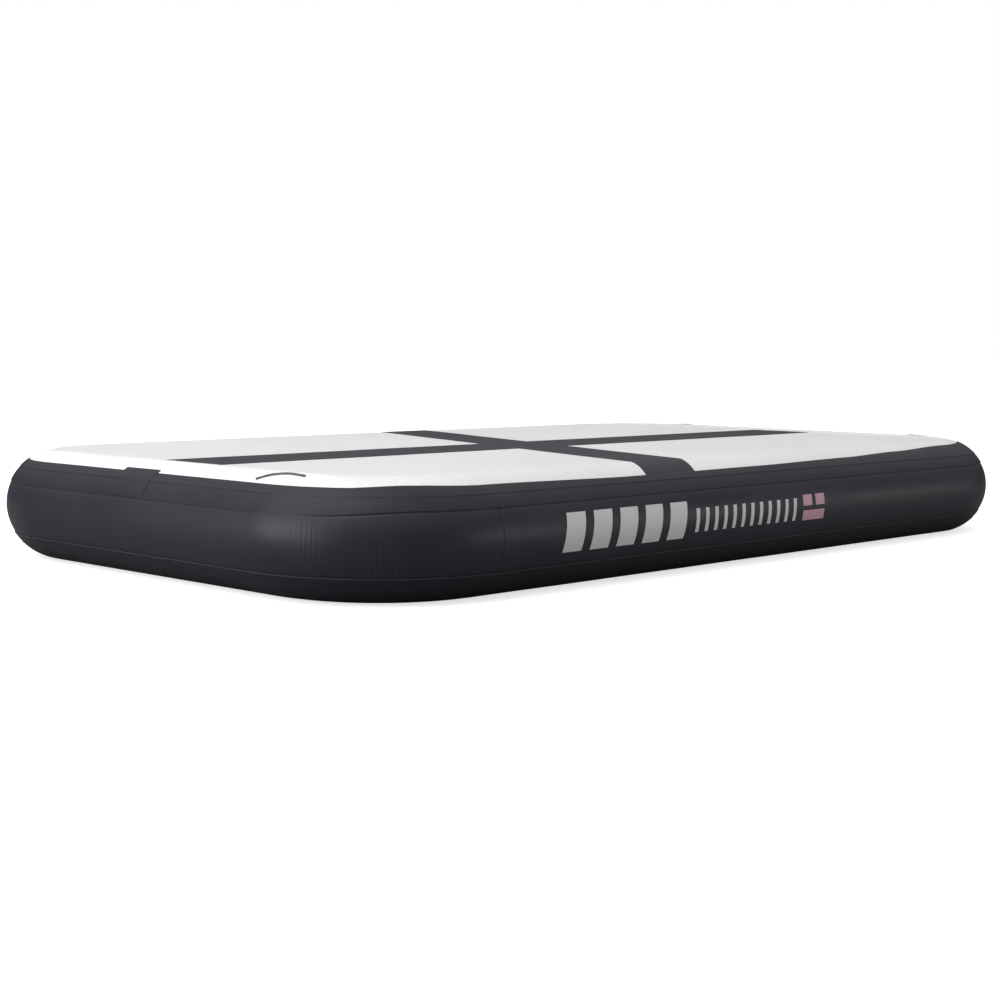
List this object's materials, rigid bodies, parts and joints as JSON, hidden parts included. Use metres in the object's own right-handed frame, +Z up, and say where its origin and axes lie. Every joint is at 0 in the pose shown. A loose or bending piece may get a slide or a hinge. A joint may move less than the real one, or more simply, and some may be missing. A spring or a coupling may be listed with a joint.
{
  "type": "air track mat",
  "caption": "Small inflatable tumbling board: flat drop-stitch air mat with round side wall, dark rail tapes, crossed deck stripes and a capped press-and-twist air valve at one end.",
  "frame": {"origin": "on the floor under the centre of the board", "axes": "+X along the board's length towards the valve, +Y across its width, +Z up through its thickness"},
  "size_m": [1, 0.6014, 0.1],
  "materials": {
    "deck_pvc": "embossed matt coated cloth",
    "band_pvc": "smooth satin coated cloth",
    "base_cloth": "woven polyester",
    "yarn": "polyester yarn",
    "bottom_pvc": "matt coated cloth",
    "inner_pvc": "matt coated cloth",
    "wall_pvc": "satin coated cloth",
    "tape_pvc": "satin coated tape",
    "stripe_pvc": "matt print",
    "print_ink": "printed ink",
    "print_pink": "printed ink",
    "seal_rubber": "matt",
    "valve_plastic": "fine moulded texture",
    "stem_plastic": "moulded",
    "spring_steel": "drawn wire",
    "tether_plastic": "flexible matt moulding"
  },
  "bodies": {
    "mat": {"deck_sheet": "deck_pvc", "deck_base_cloth": "base_cloth", "drop_stitch_yarns": "yarn", "bottom_base_cloth": "base_cloth", "bottom_sheet": "bottom_pvc", "inner_side_wall": "inner_pvc", "upper_inner_seam_tape": "inner_pvc", "lower_inner_seam_tape": "inner_pvc", "outer_side_wall": "wall_pvc", "upper_rail_tape": "tape_pvc", "lower_rail_tape": "tape_pvc", "front_joint_strip": "tape_pvc", "back_joint_strip": "tape_pvc", "upper_tape_lap": "tape_pvc", "left_end_band": "band_pvc", "right_end_band": "band_pvc", "long_stripe": "stripe_pvc", "cross_stripe": "stripe_pvc", "side_mark_bold": "print_ink", "side_mark_thin": "print_ink", "side_mark_small": "print_pink", "valve_patch": "tape_pvc", "valve_gasket": "seal_rubber", "valve_body": "valve_plastic", "valve_backing_nut": "valve_plastic", "valve_spring": "spring_steel", "tether_body_ring": "tether_plastic", "tether_strap": "tether_plastic"},
    "tether_end": {"tether_cap_ring": "tether_plastic"},
    "cap": {"valve_cap": "valve_plastic", "cap_seal": "seal_rubber"},
    "poppet": {"poppet_seal": "seal_rubber", "poppet_carrier": "stem_plastic"},
    "stem": {"valve_stem": "stem_plastic"}
  },
  "joints": [
    {"name": "cap_lift", "type": "slide", "parent": "mat", "child": "tether_end", "axis": [1, 0, 0], "range_m": [0, 0.036]},
    {"name": "cap_turn", "type": "hinge", "parent": "tether_end", "child": "cap", "pos_m": [0.4895, 0, 0.04983], "axis": [1, 0, 0], "range_deg": [0, 541]},
    {"name": "stem_press", "type": "slide", "parent": "mat", "child": "poppet", "axis": [-1, 0, 0], "range_m": [0, 0.0045], "stiffness_N_per_m": 600, "springref_m": -0.004, "deforming": ["valve_spring"]},
    {"name": "stem_turn", "type": "hinge", "parent": "poppet", "child": "stem", "pos_m": [0.4895, 0, 0.04983], "axis": [1, 0, 0], "range_deg": [0, 90]}
  ],
  "couplings": [
    {"joint": "cap_turn", "follows": "cap_lift", "rad_per_m": 261.8}
  ]
}
